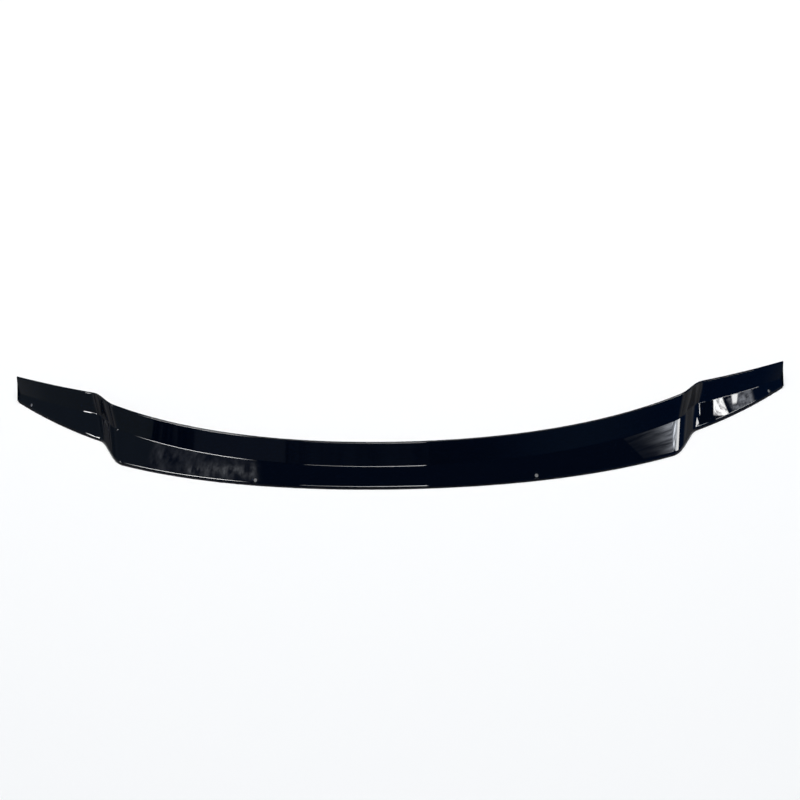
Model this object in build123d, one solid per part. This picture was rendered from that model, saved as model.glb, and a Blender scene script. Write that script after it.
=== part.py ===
from build123d import *
from math import cos, hypot, radians, sin
import os

# Hood bug deflector: one sheet of dark acrylic, heat-formed over a mould, with four screw holes.
# X runs across the car, the front faces -Y, +Y runs back towards the windscreen and +Z is up.
# Lengths are in millimetres and angles in degrees above the level.

overall_length = 1400.0
sheet_thickness = 3.0

# Cross-section of the front face, from the lower edge up, with widths measured along each slope
lip_width = 5.0
lip_angle = 65.0
lip_radius = 9.0
lower_band_angle = 30.0
crease_radius = 8.0
upper_band_angle = 50.0
upper_band_width = 42.2
top_edge_radius = 2.5

# Middle of the shield: both edges bow back towards the shoulders, and the lower band widens
middle_bow = 59.1
bow_tail_share = 0.225
lower_band_at_middle = 34.7
lower_band_at_shoulder = 55.2

# Walls that step from the shoulders back to the wings: a soft ridge, a straight wall and a tighter
# valley, with the top of each wall leaning outwards
wall_length = 52.0
wall_lean = 17.0
ridge_length = 24.0
valley_length = 13.0

# Wings: set back behind the middle, and tapered from their roots to their cut ends
wing_length = 174.0
wing_root_setback = 113.4
wing_tip_setback = 207.4
wing_bow = 5.9
wing_lower_band_at_root = 43.5
wing_lower_band_at_tip = 12.5
wing_lower_band_crown = 3.0
wing_upper_band_at_root = 38.1
wing_upper_band_at_tip = 32.0
wing_corner_radius = 5.5
wing_corner_drop = 0.1

# Screw holes, drilled square to the sheet, at a distance along the slope from the lower edge
hole_radius = 3.0
hole_edge_distance = 10.5
middle_hole_station = 237.5
wing_hole_inset = 29.5

# Spacing of the cross-sections that the sheet is lofted through
middle_spacing = 60.0
wall_spacing = 4.5
wing_spacing = 28.0

wing_root_station = overall_length / 2 - wing_length
shoulder_station = wing_root_station - wall_length


def along(angle, length):
    """Vector of a given length up a slope, in a plane square to X."""
    return Vector(0, length * cos(radians(angle)), length * sin(radians(angle)))


def chain(setback, lower_band, upper_band):
    """Corners of the front face in one section: lower edge, lip end, crease and top edge."""
    edge = Vector(0, setback, 0)
    lip_end = edge + along(lip_angle, lip_width)
    crease = lip_end + along(lower_band_angle, lower_band)
    return [edge, lip_end, crease, crease + along(upper_band_angle, upper_band)]


def middle_chain(station):
    n = station / shoulder_station
    swept = (1 - bow_tail_share) * n**2 + bow_tail_share * n**4
    widening = lower_band_at_shoulder - lower_band_at_middle
    return chain(middle_bow * swept, lower_band_at_middle + widening * swept, upper_band_width)


def wing_chain(station):
    s = (station - wing_root_station) / wing_length
    crown = 4 * s * (1 - s)
    setback = wing_root_setback + (wing_tip_setback - wing_root_setback) * s - wing_bow * crown
    lower_taper = wing_lower_band_at_tip - wing_lower_band_at_root
    lower_band = wing_lower_band_at_root + lower_taper * s + wing_lower_band_crown * crown
    upper_band = wing_upper_band_at_root + (wing_upper_band_at_tip - wing_upper_band_at_root) * s
    return chain(setback, lower_band, upper_band)


def wall_share(distance):
    """Share of the step behind a point of the wall: rounded ridge, straight run, rounded valley."""
    steepest = 1 / (wall_length - ridge_length / 2 - valley_length / 2)
    ridge = min(max(distance, 0), ridge_length)
    straight = min(max(distance - ridge_length, 0), wall_length - ridge_length - valley_length)
    valley = min(max(distance - wall_length + valley_length, 0), valley_length)
    rise = ridge**2 / (2 * ridge_length) + straight + valley - valley**2 / (2 * valley_length)
    return steepest * rise


def front_corners(x):
    """Corners of the front face at a place along X, on either side of the middle."""
    station = abs(x)
    corners = []
    for lean, middle, wing in zip((0, 0, 0.5, 1), middle_chain(station), wing_chain(station)):
        share = wall_share(station - shoulder_station - wall_lean * lean)
        corners.append(Vector(x, 0, 0) + middle + (wing - middle) * share)
    return corners


def panels(x):
    """Direction, outward normal and thickness of the lip, lower band and upper band in one section."""
    probe = sheet_thickness / 6
    here, before, after = front_corners(x), front_corners(x - probe), front_corners(x + probe)
    found = []
    for i in range(3):
        direction = (here[i + 1] - here[i]).normalized()
        outward = Vector(0, -direction.Z, direction.Y)
        shift = (after[i] + after[i + 1] - before[i] - before[i + 1]) / 2
        slant = shift.dot(outward) / (2 * probe)
        found.append((direction, outward, sheet_thickness * hypot(1, slant)))
    return found


def meet(point, direction, other_point, other_direction):
    """Crossing of two lines in a plane square to X."""
    gap = other_point - point
    turn = direction.Y * other_direction.Z - direction.Z * other_direction.Y
    return point + direction * ((gap.Y * other_direction.Z - gap.Z * other_direction.Y) / turn)


def section(x):
    """Closed outline of the sheet in a plane square to X, rounded in the bends and cut level below."""
    front = front_corners(x)
    lip, lower, upper = panels(x)
    level = Vector(0, 1, 0)
    back = [meet(front[0], level, front[0] - lip[1] * lip[2], lip[0])]
    for corner, below, above in ((front[1], lip, lower), (front[2], lower, upper)):
        start = corner - below[1] * below[2]
        back.append(meet(start, below[0], corner - above[1] * above[2], above[0]))
    back.append(front[3] - upper[1] * upper[2])

    lip_inside = lip_radius - (lip[2] + lower[2]) / 2
    crease_behind = crease_radius + (lower[2] + upper[2]) / 2
    radii = [0, lip_radius, crease_radius, top_edge_radius, 0, crease_behind, lip_inside, 0]
    outline = FilletPolyline(*front, *reversed(back), radius=radii, close=True)
    return make_face(outline.edges())


def lofted(start, end, spacing):
    """Stretch of the sheet between two places along X, lofted through evenly spaced sections."""
    count = max(2, round((end - start) / spacing))
    return loft([section(start + (end - start) * i / count) for i in range(count + 1)])


def corner_waste():
    """Material outside the rounded lower corner of the right-hand cut end.

    The rounding runs out slightly below the lower edge, so it meets that edge at a shallow angle.
    """
    corner, lip_end = front_corners(overall_length / 2)[:2]
    inboard = (front_corners(overall_length / 2 - wing_corner_radius)[0] - corner).normalized()
    up = (lip_end - corner).normalized()
    corner -= up * wing_corner_drop
    reach = 3 * wing_corner_radius
    ends = corner + inboard * reach, corner + up * reach
    rounding = FilletPolyline(ends[0], corner, ends[1], radius=wing_corner_radius)
    arc = rounding.edges().filter_by(GeomType.CIRCLE)[0]
    waste = make_face([Line(arc @ 0, corner).edge(), Line(corner, arc @ 1).edge(), arc])
    return extrude(waste, 2 * wing_corner_radius, both=True)


def screw_hole(x):
    """Drilled hole through the flat of the lower band, square to the sheet."""
    probe = hole_radius
    direction = along(lower_band_angle, 1)
    lip_ends = [front_corners(x + step)[1] for step in (-probe, 0, probe)]
    outward = (lip_ends[2] - lip_ends[0]).cross(direction).normalized()
    place = Plane(lip_ends[1] + direction * (hole_edge_distance - lip_width), z_dir=outward)
    return place * Cylinder(hole_radius, 4 * sheet_thickness)


def make_shield():
    middle = lofted(-shoulder_station, shoulder_station, middle_spacing)
    middle -= [screw_hole(-middle_hole_station), screw_hole(middle_hole_station)]
    wall_end = wing_root_station + wall_lean
    wing = lofted(wall_end, overall_length / 2, wing_spacing)
    wing -= [corner_waste(), screw_hole(overall_length / 2 - wing_hole_inset)]
    side = lofted(shoulder_station, wall_end, wall_spacing) + wing
    shield = middle + side + mirror(side, about=Plane.YZ)
    box = shield.bounding_box()
    return Pos(0, -box.center().Y, -box.min.Z) * shield


shield = make_shield()
os.makedirs("parts", exist_ok=True)
export_step(shield, "parts/shield.step")
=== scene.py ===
from math import atan2, ceil, cos, hypot, pi, radians, sin, sqrt, tan

import bpy
from mathutils import Matrix, Vector


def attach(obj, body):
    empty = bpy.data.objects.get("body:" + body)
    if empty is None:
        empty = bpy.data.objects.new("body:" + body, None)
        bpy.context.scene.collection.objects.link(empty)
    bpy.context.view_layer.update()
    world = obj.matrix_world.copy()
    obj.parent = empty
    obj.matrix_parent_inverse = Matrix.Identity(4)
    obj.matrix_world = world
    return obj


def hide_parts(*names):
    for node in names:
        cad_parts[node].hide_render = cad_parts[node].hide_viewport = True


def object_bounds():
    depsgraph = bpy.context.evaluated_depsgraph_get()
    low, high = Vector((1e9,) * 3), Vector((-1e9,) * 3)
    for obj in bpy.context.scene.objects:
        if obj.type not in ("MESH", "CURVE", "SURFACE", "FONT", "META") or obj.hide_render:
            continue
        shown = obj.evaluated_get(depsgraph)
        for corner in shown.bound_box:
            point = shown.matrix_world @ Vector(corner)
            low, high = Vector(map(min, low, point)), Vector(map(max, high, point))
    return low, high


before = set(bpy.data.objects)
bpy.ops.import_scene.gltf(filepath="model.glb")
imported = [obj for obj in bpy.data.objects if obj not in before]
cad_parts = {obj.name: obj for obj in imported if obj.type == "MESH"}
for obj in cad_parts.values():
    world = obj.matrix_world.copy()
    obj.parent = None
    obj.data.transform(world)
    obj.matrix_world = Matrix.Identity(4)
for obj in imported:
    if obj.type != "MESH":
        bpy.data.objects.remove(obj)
cadLow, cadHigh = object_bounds()
print("frame loaded")


# Camera, where the photograph was taken from: azimuth 0 is straight in front of the shield
cameraView = {
    "target": (0.0072, 0.0746, 0),
    "azimuth": 2.43,
    "elevation": 50,
    "roll": 2.96,
    "distance": 1.6,
    "lens": 39.51,
    "sensorWidth": 36,
    "clipEnd": 200,
}


def towards(azimuth, elevation):
    a, e = radians(azimuth), radians(elevation)
    return Vector((sin(a) * cos(e), -cos(a) * cos(e), sin(e)))


def makeCamera(view):
    back = towards(view["azimuth"], view["elevation"])
    level = Vector((cos(radians(view["azimuth"])), sin(radians(view["azimuth"])), 0))
    up = back.cross(level)
    roll = radians(view["roll"])
    right = level * cos(roll) - up * sin(roll)
    up = level * sin(roll) + up * cos(roll)
    place = Vector(view["target"]) + back * view["distance"]
    turn = Matrix((right, up, back)).transposed()
    bpy.ops.object.camera_add(location=place, rotation=turn.to_euler())
    camera = bpy.context.object
    camera.name = "camera"
    camera.data.lens = view["lens"]
    camera.data.sensor_width = view["sensorWidth"]
    camera.data.clip_end = view["clipEnd"]
    bpy.context.scene.camera = camera


makeCamera(cameraView)
print("camera placed")


# Shape of the sheet, in metres, with angles in degrees above the level
sheet = {
    "length": 1.4,
    "thickness": 0.003,
    "lip": 0.005, "lipAngle": 65, "lipRadius": 0.009,
    "lowerAngle": 30, "creaseRadius": 0.008,
    "upperAngle": 50, "upperBand": 0.0422, "topRadius": 0.0025,
    "bow": 0.0591, "bowTail": 0.225,
    "lowerBandMiddle": 0.0347, "lowerBandShoulder": 0.0552,
    "wall": 0.052, "wallLean": 0.017, "ridge": 0.024, "valley": 0.013,
    "wing": 0.174, "wingRoot": 0.1134, "wingTip": 0.2074, "wingBow": 0.0059,
    "wingLowerRoot": 0.0435, "wingLowerTip": 0.0125, "wingLowerCrown": 0.003,
    "wingUpperRoot": 0.0381, "wingUpperTip": 0.032,
    "cornerWidth": 0.0036, "cornerHeight": 0.0039,   # rounded lower corner of each wing end
    "edgeRadius": 0.0004,                            # hand-eased edges
    "endRadius": 0.0003,
    "cornerSteps": (5, 10, 12, 8, 4, 10, 8, 4),      # faces round each bend and edge of the section
    "runSteps": (3, 14, 14, 3, 10, 10, 2, 3),        # faces on each flat between them
    "middleSpacing": 0.0045, "wallSpacing": 0.00075, "wingSpacing": 0.004, "cornerSpacing": 0.0004,
    "endSteps": 4,
    "slantProbe": 0.0005,      # how far to either side the slant of the walls is measured
    "weldDistance": 0.000001,
    "mostSides": 8,            # only the faces of the two cut ends have more sides than this
    "endInset": 0.0002,        # ring of faces that keeps the shading of the cut ends flat
    "smoothAngle": 32,
}
sheet["wingStart"] = sheet["length"] / 2 - sheet["wing"]
sheet["shoulder"] = sheet["wingStart"] - sheet["wall"]


def slope(angle, length):
    return Vector((length * cos(radians(angle)), length * sin(radians(angle))))


def bentLine(setback, lowerBand, upperBand):
    edge = Vector((setback, 0))
    lipEnd = edge + slope(sheet["lipAngle"], sheet["lip"])
    crease = lipEnd + slope(sheet["lowerAngle"], lowerBand)
    return [edge, lipEnd, crease, crease + slope(sheet["upperAngle"], upperBand)]


def middleLine(station):
    n = station / sheet["shoulder"]
    swept = (1 - sheet["bowTail"]) * n**2 + sheet["bowTail"] * n**4
    widening = sheet["lowerBandShoulder"] - sheet["lowerBandMiddle"]
    return bentLine(sheet["bow"] * swept, sheet["lowerBandMiddle"] + widening * swept, sheet["upperBand"])


def wingLine(station):
    s = (station - sheet["wingStart"]) / sheet["wing"]
    crown = 4 * s * (1 - s)
    setback = sheet["wingRoot"] + (sheet["wingTip"] - sheet["wingRoot"]) * s - sheet["wingBow"] * crown
    lower = sheet["wingLowerRoot"] + (sheet["wingLowerTip"] - sheet["wingLowerRoot"]) * s
    upper = sheet["wingUpperRoot"] + (sheet["wingUpperTip"] - sheet["wingUpperRoot"]) * s
    return bentLine(setback, lower + sheet["wingLowerCrown"] * crown, upper)


def wallShare(distance):
    # how far back the wall has stepped: soft ridge, straight run, tighter valley
    wall, ridgeLength, valleyLength = sheet["wall"], sheet["ridge"], sheet["valley"]
    ridge = min(max(distance, 0), ridgeLength)
    straight = min(max(distance - ridgeLength, 0), wall - ridgeLength - valleyLength)
    valley = min(max(distance - wall + valleyLength, 0), valleyLength)
    rise = ridge**2 / (2 * ridgeLength) + straight + valley - valley**2 / (2 * valleyLength)
    return rise / (wall - ridgeLength / 2 - valleyLength / 2)


def frontLine(x):
    station = abs(x)
    corners = []
    for lean, middle, wing in zip((0, 0, 0.5, 1), middleLine(station), wingLine(station)):
        share = wallShare(station - sheet["shoulder"] - sheet["wallLean"] * lean)
        corners.append(middle.lerp(wing, share))
    return corners


def crossing(point, way, otherPoint, otherWay):
    gap = otherPoint - point
    return point + way * (gap.cross(otherWay) / way.cross(otherWay))


def sectionCorners(x):
    # the four bends of the front face, then those behind it, a sheet's thickness away
    front = frontLine(x)
    probe = sheet["slantProbe"]
    before, after = frontLine(x - probe), frontLine(x + probe)
    ways, starts = [], []
    for i in range(3):
        way = (front[i + 1] - front[i]).normalized()
        out = Vector((-way.y, way.x))
        shift = (after[i] + after[i + 1] - before[i] - before[i + 1]) / 2
        inward = out * sheet["thickness"] * hypot(1, shift.dot(out) / (2 * probe))
        ways.append(way)
        starts.append((front[i] - inward, front[i + 1] - inward))
    clip = 0.0
    reach = (abs(x) - sheet["length"] / 2) / sheet["cornerWidth"] + 1
    if reach > 0:
        clip = sheet["cornerHeight"] * (1 - sqrt(max(0, 1 - reach**2)))
    level = crossing(starts[0][0], ways[0], front[0], Vector((1, 0)))
    behind = [starts[0][0] + ways[0] * max((level - starts[0][0]).length, clip)]
    behind.append(crossing(starts[0][0], ways[0], starts[1][0], ways[1]))
    behind.append(crossing(starts[1][0], ways[1], starts[2][0], ways[2]))
    behind.append(starts[2][1])
    front[0] = front[0] + ways[0] * clip
    return front, behind


# Where the lip is cut away at the ends, its roundings shrink to these shares of what is left of it
lipRoom = {
    "edge": 0.2, "besideEdge": 1.6, "bend": 0.95,
    "backEdge": 0.4, "besideBackEdge": 0.7, "backBend": 0.9,
    "leastRadius": 0.00005,
}


def roundedOutline(x):
    # closed outline of the section, with its outward normals, always with the same count of points
    front, behind = sectionCorners(x)
    edge = sheet["edgeRadius"]
    thick = (front[2] - behind[2]).length
    corners = front + behind[::-1]
    radii = [edge, sheet["lipRadius"], sheet["creaseRadius"], sheet["topRadius"],
             edge, sheet["creaseRadius"] + thick, sheet["lipRadius"] - thick, edge]
    lipLeft = (front[1] - front[0]).length
    backLeft = (behind[1] - behind[0]).length
    halfBend = tan(radians(sheet["lipAngle"] - sheet["lowerAngle"]) / 2)
    radii[0] = min(radii[0], lipLeft * lipRoom["edge"])
    radii[1] = min(radii[1], (lipLeft - radii[0] * lipRoom["besideEdge"]) / halfBend * lipRoom["bend"])
    radii[7] = min(radii[7], backLeft * lipRoom["backEdge"])
    backRoom = (backLeft - radii[7] * lipRoom["besideBackEdge"]) / halfBend
    radii[6] = max(min(radii[6], backRoom * lipRoom["backBend"]), lipRoom["leastRadius"])
    arcs = []
    for i, (corner, radius) in enumerate(zip(corners, radii)):
        toBefore = (corners[i - 1] - corner).normalized()
        toAfter = (corners[(i + 1) % 8] - corner).normalized()
        halfOpen = toBefore.angle(toAfter) / 2
        centre = corner + (toBefore + toAfter).normalized() * (radius / sin(halfOpen))
        tangent = radius / tan(halfOpen)
        first = corner + toBefore * tangent - centre
        last = corner + toAfter * tangent - centre
        start = atan2(first.y, first.x)
        sweep = (atan2(last.y, last.x) - start + pi) % (2 * pi) - pi
        hollow = 1 if sweep < 0 else -1
        count = sheet["cornerSteps"][i]
        arc = []
        for k in range(count + 1):
            a = start + sweep * k / count
            spoke = Vector((cos(a), sin(a)))
            arc.append((centre + spoke * radius, spoke * hollow))
        arcs.append(arc)
    points = []
    for i, arc in enumerate(arcs):
        points += arc
        (here, normal), (there, _) = arc[-1], arcs[(i + 1) % 8][0]
        count = sheet["runSteps"][i]
        for k in range(1, count):
            # the points of a flat stand closer together towards its bends
            points.append((here.lerp(there, 0.5 - 0.5 * cos(pi * k / count)), normal))
    return points + points[:1]


def columnPlaces():
    # where the sections stand along X: close together in the walls and at the ends
    half, end = sheet["length"] / 2, sheet["endRadius"]
    wallEnd = sheet["wingStart"] + sheet["wallLean"]
    stretches = [
        (0, sheet["shoulder"], sheet["middleSpacing"]),
        (sheet["shoulder"], wallEnd, sheet["wallSpacing"]),
        (wallEnd, half - sheet["cornerWidth"], sheet["wingSpacing"]),
        (half - sheet["cornerWidth"], half - end, sheet["cornerSpacing"]),
    ]
    places = []
    for start, stop, spacing in stretches:
        count = ceil((stop - start) / spacing)
        places += [(start + (stop - start) * i / count, 0) for i in range(count)]
    for k in range(sheet["endSteps"] + 1):
        a = pi / 2 * k / sheet["endSteps"]
        places.append((half - end + end * sin(a), end * (1 - cos(a))))
    return [(-x, inset) for x, inset in reversed(places[1:])] + places


def makeSheet():
    places = columnPlaces()
    rows = sum(sheet["cornerSteps"]) + sum(sheet["runSteps"])
    bpy.ops.object.select_all(action="DESELECT")
    bpy.ops.mesh.primitive_grid_add(x_subdivisions=len(places) - 1, y_subdivisions=rows, size=1)
    piece = bpy.context.object
    piece.name = "smokedShield"
    outlines = [(x, inset, roundedOutline(x)) for x, inset in places]
    for v in piece.data.vertices:
        x, inset, outline = outlines[round((v.co.x + 0.5) * (len(places) - 1))]
        point, normal = outline[round((v.co.y + 0.5) * rows)]
        point = point - normal * inset
        v.co = (x, cadLow.y + point.x, cadLow.z + point.y)
    bpy.ops.object.mode_set(mode="EDIT")
    bpy.ops.mesh.select_all(action="SELECT")
    bpy.ops.mesh.remove_doubles(threshold=sheet["weldDistance"])
    bpy.ops.mesh.fill_holes(sides=0)
    bpy.ops.mesh.select_all(action="SELECT")
    bpy.ops.mesh.normals_make_consistent(inside=False)
    bpy.ops.mesh.select_all(action="DESELECT")
    bpy.ops.object.mode_set(mode="OBJECT")
    for face in piece.data.polygons:
        face.select = len(face.vertices) > sheet["mostSides"]
    bpy.ops.object.mode_set(mode="EDIT")
    bpy.ops.mesh.select_mode(type="FACE")
    bpy.ops.mesh.inset(thickness=sheet["endInset"])
    bpy.ops.object.mode_set(mode="OBJECT")
    return piece


shield = makeSheet()
print("sheet shaped:", len(shield.data.polygons), "faces")


# Screw holes near the lower edge, square to the sheet, with a fine chamfer
holes = {
    "radius": 0.003,
    "chamfer": 0.0002,
    "fromLipEnd": 0.0055,
    "middleStation": 0.2375,
    "wingStation": 0.6705,
    "sides": 64,
    "flare": 0.001,     # how far the cutter's widened ends reach out
    "endFacing": 0.9,   # least share of a normal along the cutter that marks one of its ends
}


def holePlace(x):
    up = slope(sheet["lowerAngle"], 1)
    ends = []
    for step in (-holes["radius"], 0, holes["radius"]):
        corner = frontLine(x + step)[1]
        ends.append(Vector((x + step, cadLow.y + corner.x, cadLow.z + corner.y)))
    slopeWay = Vector((0, up.x, up.y))
    out = (ends[2] - ends[0]).cross(slopeWay).normalized()
    return ends[1] + slopeWay * holes["fromLipEnd"] - out * sheet["thickness"] / 2, out


def drillHoles(piece):
    wing, middle = holes["wingStation"], holes["middleStation"]
    straight = sheet["thickness"] - 2 * holes["chamfer"]
    for x in (-wing, -middle, middle, wing):
        centre, out = holePlace(x)
        bpy.ops.mesh.primitive_cylinder_add(vertices=holes["sides"], radius=holes["radius"], depth=straight)
        cutter = bpy.context.object
        for side in (-1, 1):
            # each end is drawn out and widened at 45 degrees
            for face in cutter.data.polygons:
                face.select = face.normal.z * side > holes["endFacing"]
            bpy.ops.object.mode_set(mode="EDIT")
            bpy.ops.mesh.select_mode(type="FACE")
            bpy.ops.mesh.extrude_region_move(TRANSFORM_OT_translate={"value": (0, 0, side * holes["flare"])})
            grow = 1 + holes["flare"] / holes["radius"]
            bpy.ops.transform.resize(value=(grow, grow, 1))
            bpy.ops.object.mode_set(mode="OBJECT")
        cutter.data.transform(Matrix.Translation(centre) @ out.to_track_quat("Z", "Y").to_matrix().to_4x4())
        cut = piece.modifiers.new("hole", "BOOLEAN")
        cut.operation, cut.solver, cut.object = "DIFFERENCE", "EXACT", cutter
        bpy.ops.object.select_all(action="DESELECT")
        bpy.context.view_layer.objects.active = piece
        piece.select_set(True)
        bpy.ops.object.modifier_apply(modifier="hole")
        bpy.data.objects.remove(cutter)


drillHoles(shield)
bpy.ops.object.shade_smooth_by_angle(angle=radians(sheet["smoothAngle"]))
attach(shield, "root")
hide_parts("shield")
print("holes drilled:", len(shield.data.polygons), "faces")


# Dark smoked acrylic with a polished face
acrylic = {
    "body": (0.0005, 0.0018, 0.006),
    "dust": (0.02, 0.024, 0.032),
    "ior": 1.25,
    "roughness": (0.006, 0.025),
    "filmStretch": (3, 22, 22),
    "filmNoise": (2.2, 5, 0.6),   # scale, detail and roughness
    "filmRange": (0.35, 0.75),
    "speckScale": 260,
    "speckRadius": (0.05, 0.09),
    "speckRarity": 0.86,
    "waveNoise": (14, 1),         # scale and detail
    "waveStrength": 0.05,
    "waveDepth": 0.002,
}


def addNode(tree, kind, inputs=None, **settings):
    node = tree.nodes.new(kind)
    for name, value in settings.items():
        setattr(node, name, value)
    for name, value in (inputs or {}).items():
        if isinstance(value, bpy.types.NodeSocket):
            tree.links.new(value, node.inputs[name])
        else:
            node.inputs[name].default_value = value
    return node


def calculate(tree, operation, first, second):
    return addNode(tree, "ShaderNodeMath", {0: first, 1: second}, operation=operation).outputs[0]


def remap(tree, value, low, high, start=0, end=1, smooth=False):
    inputs = {"Value": value, "From Min": low, "From Max": high, "To Min": start, "To Max": end}
    kind = "SMOOTHSTEP" if smooth else "LINEAR"
    return addNode(tree, "ShaderNodeMapRange", inputs, interpolation_type=kind).outputs["Result"]


def noise(tree, way, scale, detail, roughness=0.5):
    inputs = {"Vector": way, "Scale": scale, "Detail": detail, "Roughness": roughness}
    return addNode(tree, "ShaderNodeTexNoise", inputs).outputs["Fac"]


def blend(tree, share, first, second):
    first, second = ((*c, 1) if isinstance(c, tuple) else c for c in (first, second))
    return addNode(tree, "ShaderNodeMix", {0: share, 6: first, 7: second}, data_type="RGBA").outputs[2]


def bareMaterial(name):
    material = bpy.data.materials.new(name)
    material.use_nodes = True
    material.node_tree.nodes.remove(material.node_tree.nodes["Principled BSDF"])
    return material


def makeAcrylic(finish):
    material = bpy.data.materials.new("smokedAcrylic")
    material.use_nodes = True
    tree = material.node_tree
    shader = tree.nodes["Principled BSDF"]
    place = addNode(tree, "ShaderNodeTexCoord").outputs["Object"]

    # wiped film, drawn out along the sheet
    drawn = addNode(tree, "ShaderNodeMapping", {"Vector": place, "Scale": finish["filmStretch"]})
    film = noise(tree, drawn.outputs["Vector"], *finish["filmNoise"])
    haze = remap(tree, film, *finish["filmRange"], *finish["roughness"])

    # sparse specks of dust
    specks = addNode(tree, "ShaderNodeTexVoronoi", {"Vector": place, "Scale": finish["speckScale"],
                                                    "Randomness": 1})
    speck = remap(tree, specks.outputs["Distance"], *finish["speckRadius"], 1, 0)
    few = calculate(tree, "GREATER_THAN", specks.outputs["Color"], finish["speckRarity"])
    dust = calculate(tree, "MULTIPLY", speck, few)
    colour = blend(tree, dust, finish["body"], finish["dust"])

    # faint waviness left by the heat-forming
    wave = noise(tree, place, *finish["waveNoise"])
    relief = addNode(tree, "ShaderNodeBump", {"Height": wave, "Distance": finish["waveDepth"],
                                              "Strength": finish["waveStrength"]})

    tree.links.new(colour, shader.inputs["Base Color"])
    tree.links.new(haze, shader.inputs["Roughness"])
    tree.links.new(relief.outputs["Normal"], shader.inputs["Normal"])
    shader.inputs["IOR"].default_value = finish["ior"]
    return material


shield.data.materials.clear()
shield.data.materials.append(makeAcrylic(acrylic))
print("acrylic made")


# Pale floor, with a share of plain white that grows in the distance, where the lamp no longer reaches
floor = {
    "size": 80,
    "colour": (0.92, 0.905, 0.885),
    "whiteShare": 0.15,
    "farFrom": 0.9,
    "farFull": 3.2,
}


def makeFloor(setting):
    bpy.ops.mesh.primitive_plane_add(size=setting["size"], location=(0, 0, cadLow.z))
    ground = bpy.context.object
    ground.name = "floor"
    material = bareMaterial("paleFloor")
    tree = material.node_tree
    matt = addNode(tree, "ShaderNodeBsdfDiffuse", {"Color": (*setting["colour"], 1)}).outputs[0]
    plain = addNode(tree, "ShaderNodeEmission", {"Strength": 1}).outputs[0]
    path = addNode(tree, "ShaderNodeLightPath").outputs
    seen = calculate(tree, "MAXIMUM", path["Is Camera Ray"], path["Is Glossy Ray"])
    seen = calculate(tree, "MAXIMUM", seen, path["Is Transmission Ray"])
    place = addNode(tree, "ShaderNodeTexCoord").outputs["Object"]
    away = addNode(tree, "ShaderNodeVectorMath", {0: place}, operation="LENGTH").outputs["Value"]
    white = remap(tree, away, setting["farFrom"], setting["farFull"], setting["whiteShare"], 1, smooth=True)
    share = calculate(tree, "MULTIPLY", seen, white)
    mixed = addNode(tree, "ShaderNodeMixShader", {0: share, 1: matt, 2: plain})
    tree.links.new(mixed.outputs[0], tree.nodes["Material Output"].inputs["Surface"])
    ground.data.materials.append(material)


makeFloor(floor)
print("floor laid")


# Studio: one soft lamp overhead, and glowing cards that stand where the sheet mirrors them
lamp = {"azimuth": 180, "elevation": 72, "distance": 6, "size": (4.4, 2.8), "wattsPerArea": 32.8}

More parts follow.
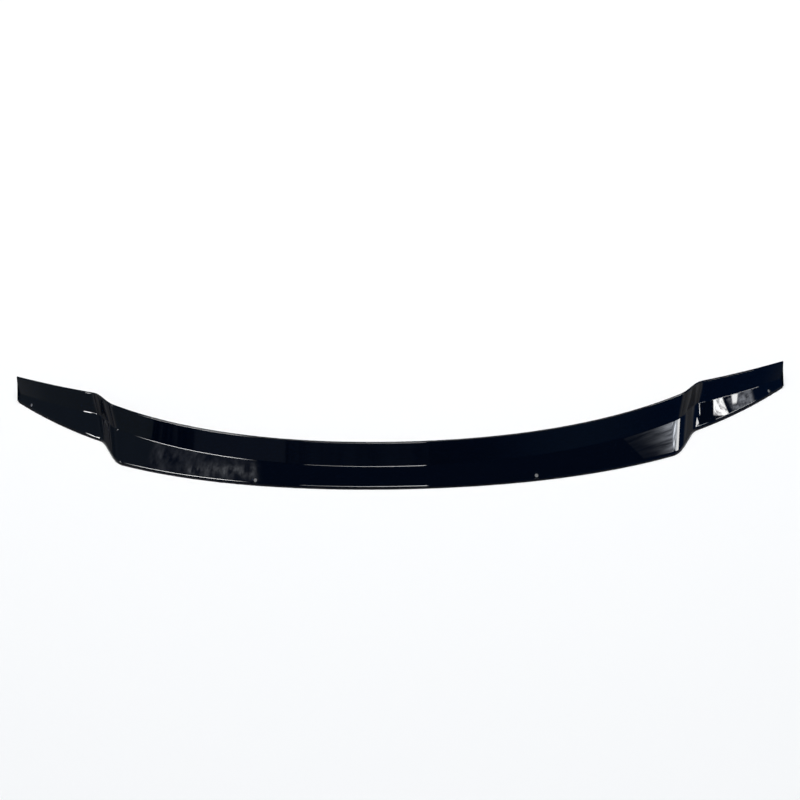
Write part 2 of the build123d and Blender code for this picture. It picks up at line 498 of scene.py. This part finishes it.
# Corners are (azimuth, elevation) from the aim: lower left, lower right, upper left, upper right. Soft is
# the share of the width and height that fades, rise the share of the glow at the left edge and the power
# it changes by towards the right, and contrast the range of the grain and its least share.
cardDistance = 6
grainNoise = (1, 4, 0.65)
cards = {
    "leftStrip": {"aim": (-0.37, -0.06, 0.03), "glow": 130, "soft": (0.22, 0.3),
                  "corners": ((-52.5, 31.2), (-24, 39), (-54.5, 37.2), (-26.5, 47))},
    "middleStrip": {"aim": (-0.05, -0.12, 0.03), "glow": 62, "soft": (0.02, 0.2), "rise": (0.5, 0.7),
                    "corners": ((-20, 42), (4, 37), (-20, 46), (4, 48))},
    "leftOverhead": {"aim": (-0.35, -0.03, 0.06), "glow": 50, "soft": (0.1, 0.2),
                     "corners": ((-74, 63.5), (-63, 74), (-103, 64), (-113, 75))},
    "middleOverhead": {"aim": (-0.03, -0.05, 0.06), "glow": 35, "soft": (0.05, 0.2),
                       "corners": ((-25, 80.5), (4, 81.5), (-125, 85), (169, 87))},
    "rightOverhead": {"aim": (0.45, 0, 0.06), "glow": 70, "soft": (0.1, 0.2),
                      "corners": ((78, 58), (98, 58), (76, 68), (100, 68))},
    "valleySpot": {"aim": (-0.553, 0.038, 0.024), "glow": 90, "soft": (0.15, 0.2),
                   "corners": ((-59, 21), (-56, 21), (-69.4, 37), (-66.4, 37))},
    "leftShade": {"aim": (-0.51, 0.01, 0.02), "glow": 0.18, "soft": (0.2, 0.1), "tint": (0.84, 1, 1),
                  "corners": ((-103, 0), (-83, 0), (-95, 27), (-79, 25))},
    "bandGlow": {"aim": (-0.28, -0.06, 0.05), "glow": 0.42, "soft": (0.04, 0.3), "tint": (0.6, 0.72, 1),
                 "corners": ((-36.5, 14), (-17.6, 15), (-36.5, 28), (-17.6, 31))},
    "bandPanels": {"aim": (-0.28, -0.06, 0.05), "glow": 0.24, "soft": (0.01, 0.3), "tint": (0.52, 0.7, 1),
                   "grain": (7, 0.6), "contrast": (0.38, 0.54, 0.5),
                   "corners": ((-17.5, 15), (6.6, 16), (-17.5, 31), (6.6, 34))},
    "rightBandGlow": {"aim": (0.28, -0.06, 0.05), "glow": 0.4, "soft": (0.48, 0.45), "tint": (0.28, 0.54, 1),
                      "corners": ((8, 16), (52, 14), (8, 34), (52, 28))},
    "frames": {"aim": (-0.38, -0.03, 0.045), "glow": 0.7, "soft": (0.03, 0.1), "tint": (0.7, 0.82, 1),
               "grain": (5, 0.8), "contrast": (0.42, 0.7, 0.05), "power": 2,
               "corners": ((-45.5, 12), (-36.5, 14), (-43.8, 26), (-36, 30))},
    "shelves": {"aim": (-0.331, -0.074, 0.0155), "glow": 1.8, "soft": (0.08, 0.1), "distance": 6.4,
                "rise": (1.7, 1), "grain": (8, 1.5), "contrast": (0.38, 0.66, 0.2), "power": 1.8,
                "tint": (0.85, 0.9, 1),
                "corners": ((-59.5, 49.4), (-31.8, 60), (-60.5, 53), (-34.5, 62.1))},
    "shelfEdge": {"aim": (-0.331, -0.074, 0.0155), "glow": 5.6, "soft": (0.12, 0.4), "rise": (1.2, 1),
                  "grain": (9, 1.3), "contrast": (0.42, 0.66, 0.2), "power": 1.8, "tint": (0.9, 0.94, 1),
                  "corners": ((-51.5, 53), (-33.2, 60.4), (-52.3, 54.9), (-34.8, 62))},
    "shoulderWindow": {"aim": (0.453, -0.041, 0.0191), "glow": 160, "soft": (0.01, 0.04), "distance": 2.5,
                       "rise": (0.003, 3.2), "tint": (0.86, 0.91, 1),
                       "grain": (1.1, 5), "contrast": (0.4, 0.56, 0.35), "power": 1.5,
                       "corners": ((51.6, 53.4), (65, 45.9), (49.2, 58.1), (69, 47.8))},
    "shoulderEnd": {"aim": (0.487, -0.032, 0.017), "glow": 40, "soft": (0.06, 0.06), "distance": 1.3,
                    "grain": (2, 5), "contrast": (0.35, 0.6, 0.2), "tint": (0.9, 0.94, 1),
                    "corners": ((62.5, 46.8), (68.6, 38.4), (66.5, 49), (72.2, 41.2))},
    "ridgeWindow": {"aim": (0.487, -0.032, 0.017), "glow": 50, "soft": (0.05, 0.1), "distance": 6.2,
                    "corners": ((68, 38.8), (74.8, 28.5), (71, 41.8), (77.8, 31.5))},
    "wingWindow": {"aim": (0.5918, 0.0352, 0.0107), "glow": 15, "soft": (0.2, 0.08), "distance": 6.2,
                   "grain": (4, 3), "contrast": (0.4, 0.62, 0.2), "tint": (0.86, 0.91, 1),
                   "corners": ((74.2, 39.9), (78.9, 35.6), (74.3, 42), (79.8, 37))},
    "wingWindowLeft": {"aim": (0.5918, 0.0352, 0.0107), "glow": 80, "soft": (0.1, 0.1),
                       "grain": (2.2, 1.6), "contrast": (0.38, 0.52, 0.2),
                       "corners": ((70.6, 43.8), (73.5, 40.4), (72.6, 44.3), (74.2, 42.5))},
    "wingWindowRight": {"aim": (0.5918, 0.0352, 0.0107), "glow": 60, "soft": (0.25, 0.25),
                        "corners": ((74.9, 40.5), (75.9, 39.3), (76, 41.1), (77.4, 39.4))},
}

# Dim mats just above the floor that the walls mirror, as (from, to) along X and along Y
matHeight = 0.0004
mats = {
    "leftMat": {"across": (-0.84, -0.535), "along": (-0.12, 0.2), "glow": 0.36, "soft": (0.1, 0.1)},
    "leftFarMat": {"across": (-5, -0.8), "along": (-0.5, 1.5), "glow": 0.1, "soft": (0.02, 0.1)},
    "rightMat": {"across": (0.52, 1.8), "along": (-0.2, 0.4), "glow": 0.58, "soft": (0.05, 0.1)},
}

# What else the sheet mirrors, with angles in degrees: to the side, or above the level
surroundings = {
    "dim": (0.04, 0.05, 0.06),
    "left": (0.38, 0.45, 0.46), "leftFrom": 38, "leftFull": 47,
    "right": (0.03, 0.13, 0.42), "rightFrom": 0, "rightFull": 55, "rightUpTo": 34, "rightGoneBy": 46,
    "horizon": (0.95, 0.95, 0.95), "horizonUpTo": 1, "horizonGoneBy": 10,
    "mottleNoise": (5, 3), "mottleRange": (0.3, 0.7), "mottleLeast": 0.75,
}


def makeLamp(setting):
    way = towards(setting["azimuth"], setting["elevation"])
    bpy.ops.object.light_add(type="AREA", location=way * setting["distance"],
                             rotation=way.to_track_quat("Z", "Y").to_euler())
    light = bpy.context.object
    light.name = "overheadKey"
    light.data.shape = "RECTANGLE"
    light.data.size, light.data.size_y = setting["size"]
    light.data.energy = setting["wattsPerArea"] * setting["size"][0] * setting["size"][1]
    light.visible_camera = False


def cardMaterial(name, card):
    # a glow that fades out at the card's edges, changes from left to right and is broken up by a grain
    material = bareMaterial(name)
    tree = material.node_tree
    place = addNode(tree, "ShaderNodeTexCoord").outputs["UV"]
    parts = addNode(tree, "ShaderNodeSeparateXYZ", {0: place}).outputs
    mask = 1
    for axis, soft in zip("XY", card["soft"]):
        inset = calculate(tree, "PINGPONG", parts[axis], 0.5)
        mask = calculate(tree, "MULTIPLY", remap(tree, inset, 0, soft, smooth=True), mask)
    leftShare, power = card.get("rise", (1, 1))
    rise = calculate(tree, "POWER", parts["X"], power)
    strength = remap(tree, rise, 0, 1, card["glow"] * leftShare, card["glow"])
    if "grain" in card:
        low, high, least = card["contrast"]
        drawn = addNode(tree, "ShaderNodeMapping", {"Vector": place, "Scale": (*card["grain"], 1)})
        share = remap(tree, noise(tree, drawn.outputs["Vector"], *grainNoise), low, high, least)
        share = calculate(tree, "POWER", share, card.get("power", 1))
        strength = calculate(tree, "MULTIPLY", strength, share)
    colour = (*card.get("tint", (1, 1, 1)), 1)
    glow = addNode(tree, "ShaderNodeEmission", {"Color": colour, "Strength": strength}).outputs[0]
    clear = addNode(tree, "ShaderNodeBsdfTransparent").outputs[0]
    mixed = addNode(tree, "ShaderNodeMixShader", {0: mask, 1: clear, 2: glow})
    tree.links.new(mixed.outputs[0], tree.nodes["Material Output"].inputs["Surface"])
    return material


def placeCard(name, card, corners):
    # cards show in the sheet's polish only, and all plain light comes from the lamp
    bpy.ops.object.select_all(action="DESELECT")
    bpy.ops.mesh.primitive_plane_add(size=1)
    piece = bpy.context.object
    piece.name = name
    for vertex, corner in zip(piece.data.vertices, corners):
        vertex.co = corner
    piece.data.materials.append(cardMaterial(name, card))
    piece.visible_camera = False
    piece.visible_diffuse = False
    piece.visible_shadow = False


def sineBetween(tree, value, low, high, start=0, end=1, smooth=True):
    # low and high are angles in degrees, and value is the sine of one
    return remap(tree, value, sin(radians(low)), sin(radians(high)), start, end, smooth)


def makeSurroundings(setting):
    # dim, with a paler side on the left, a bluish one low on the right and a pale horizon, all of it
    # only for the sheet to mirror: the camera sees plain white
    world = bpy.data.worlds.new("studio")
    bpy.context.scene.world = world
    world.use_nodes = True
    tree = world.node_tree
    way = addNode(tree, "ShaderNodeTexCoord").outputs["Generated"]
    height = addNode(tree, "ShaderNodeSeparateXYZ", {0: way}).outputs["Z"]
    level = addNode(tree, "ShaderNodeVectorMath", {0: way, 1: (1, 1, 0)}, operation="MULTIPLY").outputs[0]
    level = addNode(tree, "ShaderNodeVectorMath", {0: level}, operation="NORMALIZE").outputs[0]
    sideways = addNode(tree, "ShaderNodeSeparateXYZ", {0: level}).outputs["X"]
    mottle = noise(tree, way, *setting["mottleNoise"])
    shade = remap(tree, mottle, *setting["mottleRange"], setting["mottleLeast"])

    left = sineBetween(tree, sideways, -setting["leftFrom"], -setting["leftFull"])
    left = calculate(tree, "MULTIPLY", left, shade)
    right = sineBetween(tree, sideways, setting["rightFrom"], setting["rightFull"], smooth=False)
    low = sineBetween(tree, height, setting["rightUpTo"], setting["rightGoneBy"], 1, 0)
    right = calculate(tree, "MULTIPLY", calculate(tree, "MULTIPLY", right, low), shade)
    horizon = sineBetween(tree, height, setting["horizonUpTo"], setting["horizonGoneBy"], 1, 0)

    colour = blend(tree, right, setting["dim"], setting["right"])
    colour = blend(tree, left, colour, setting["left"])
    colour = blend(tree, horizon, colour, setting["horizon"])
    seen = addNode(tree, "ShaderNodeLightPath").outputs["Is Camera Ray"]
    colour = blend(tree, seen, colour, (1, 1, 1))
    tree.links.new(colour, tree.nodes["Background"].inputs["Color"])


makeLamp(lamp)
for name, card in cards.items():
    reach = card.get("distance", cardDistance)
    placeCard(name, card, [Vector(card["aim"]) + towards(*corner) * reach for corner in card["corners"]])
for name, mat in mats.items():
    placeCard(name, mat, [Vector((x, y, cadLow.z + matHeight)) for y in mat["along"] for x in mat["across"]])
makeSurroundings(surroundings)
bpy.context.scene.view_settings.view_transform = "Standard"
print("lamp, cards and surroundings set")
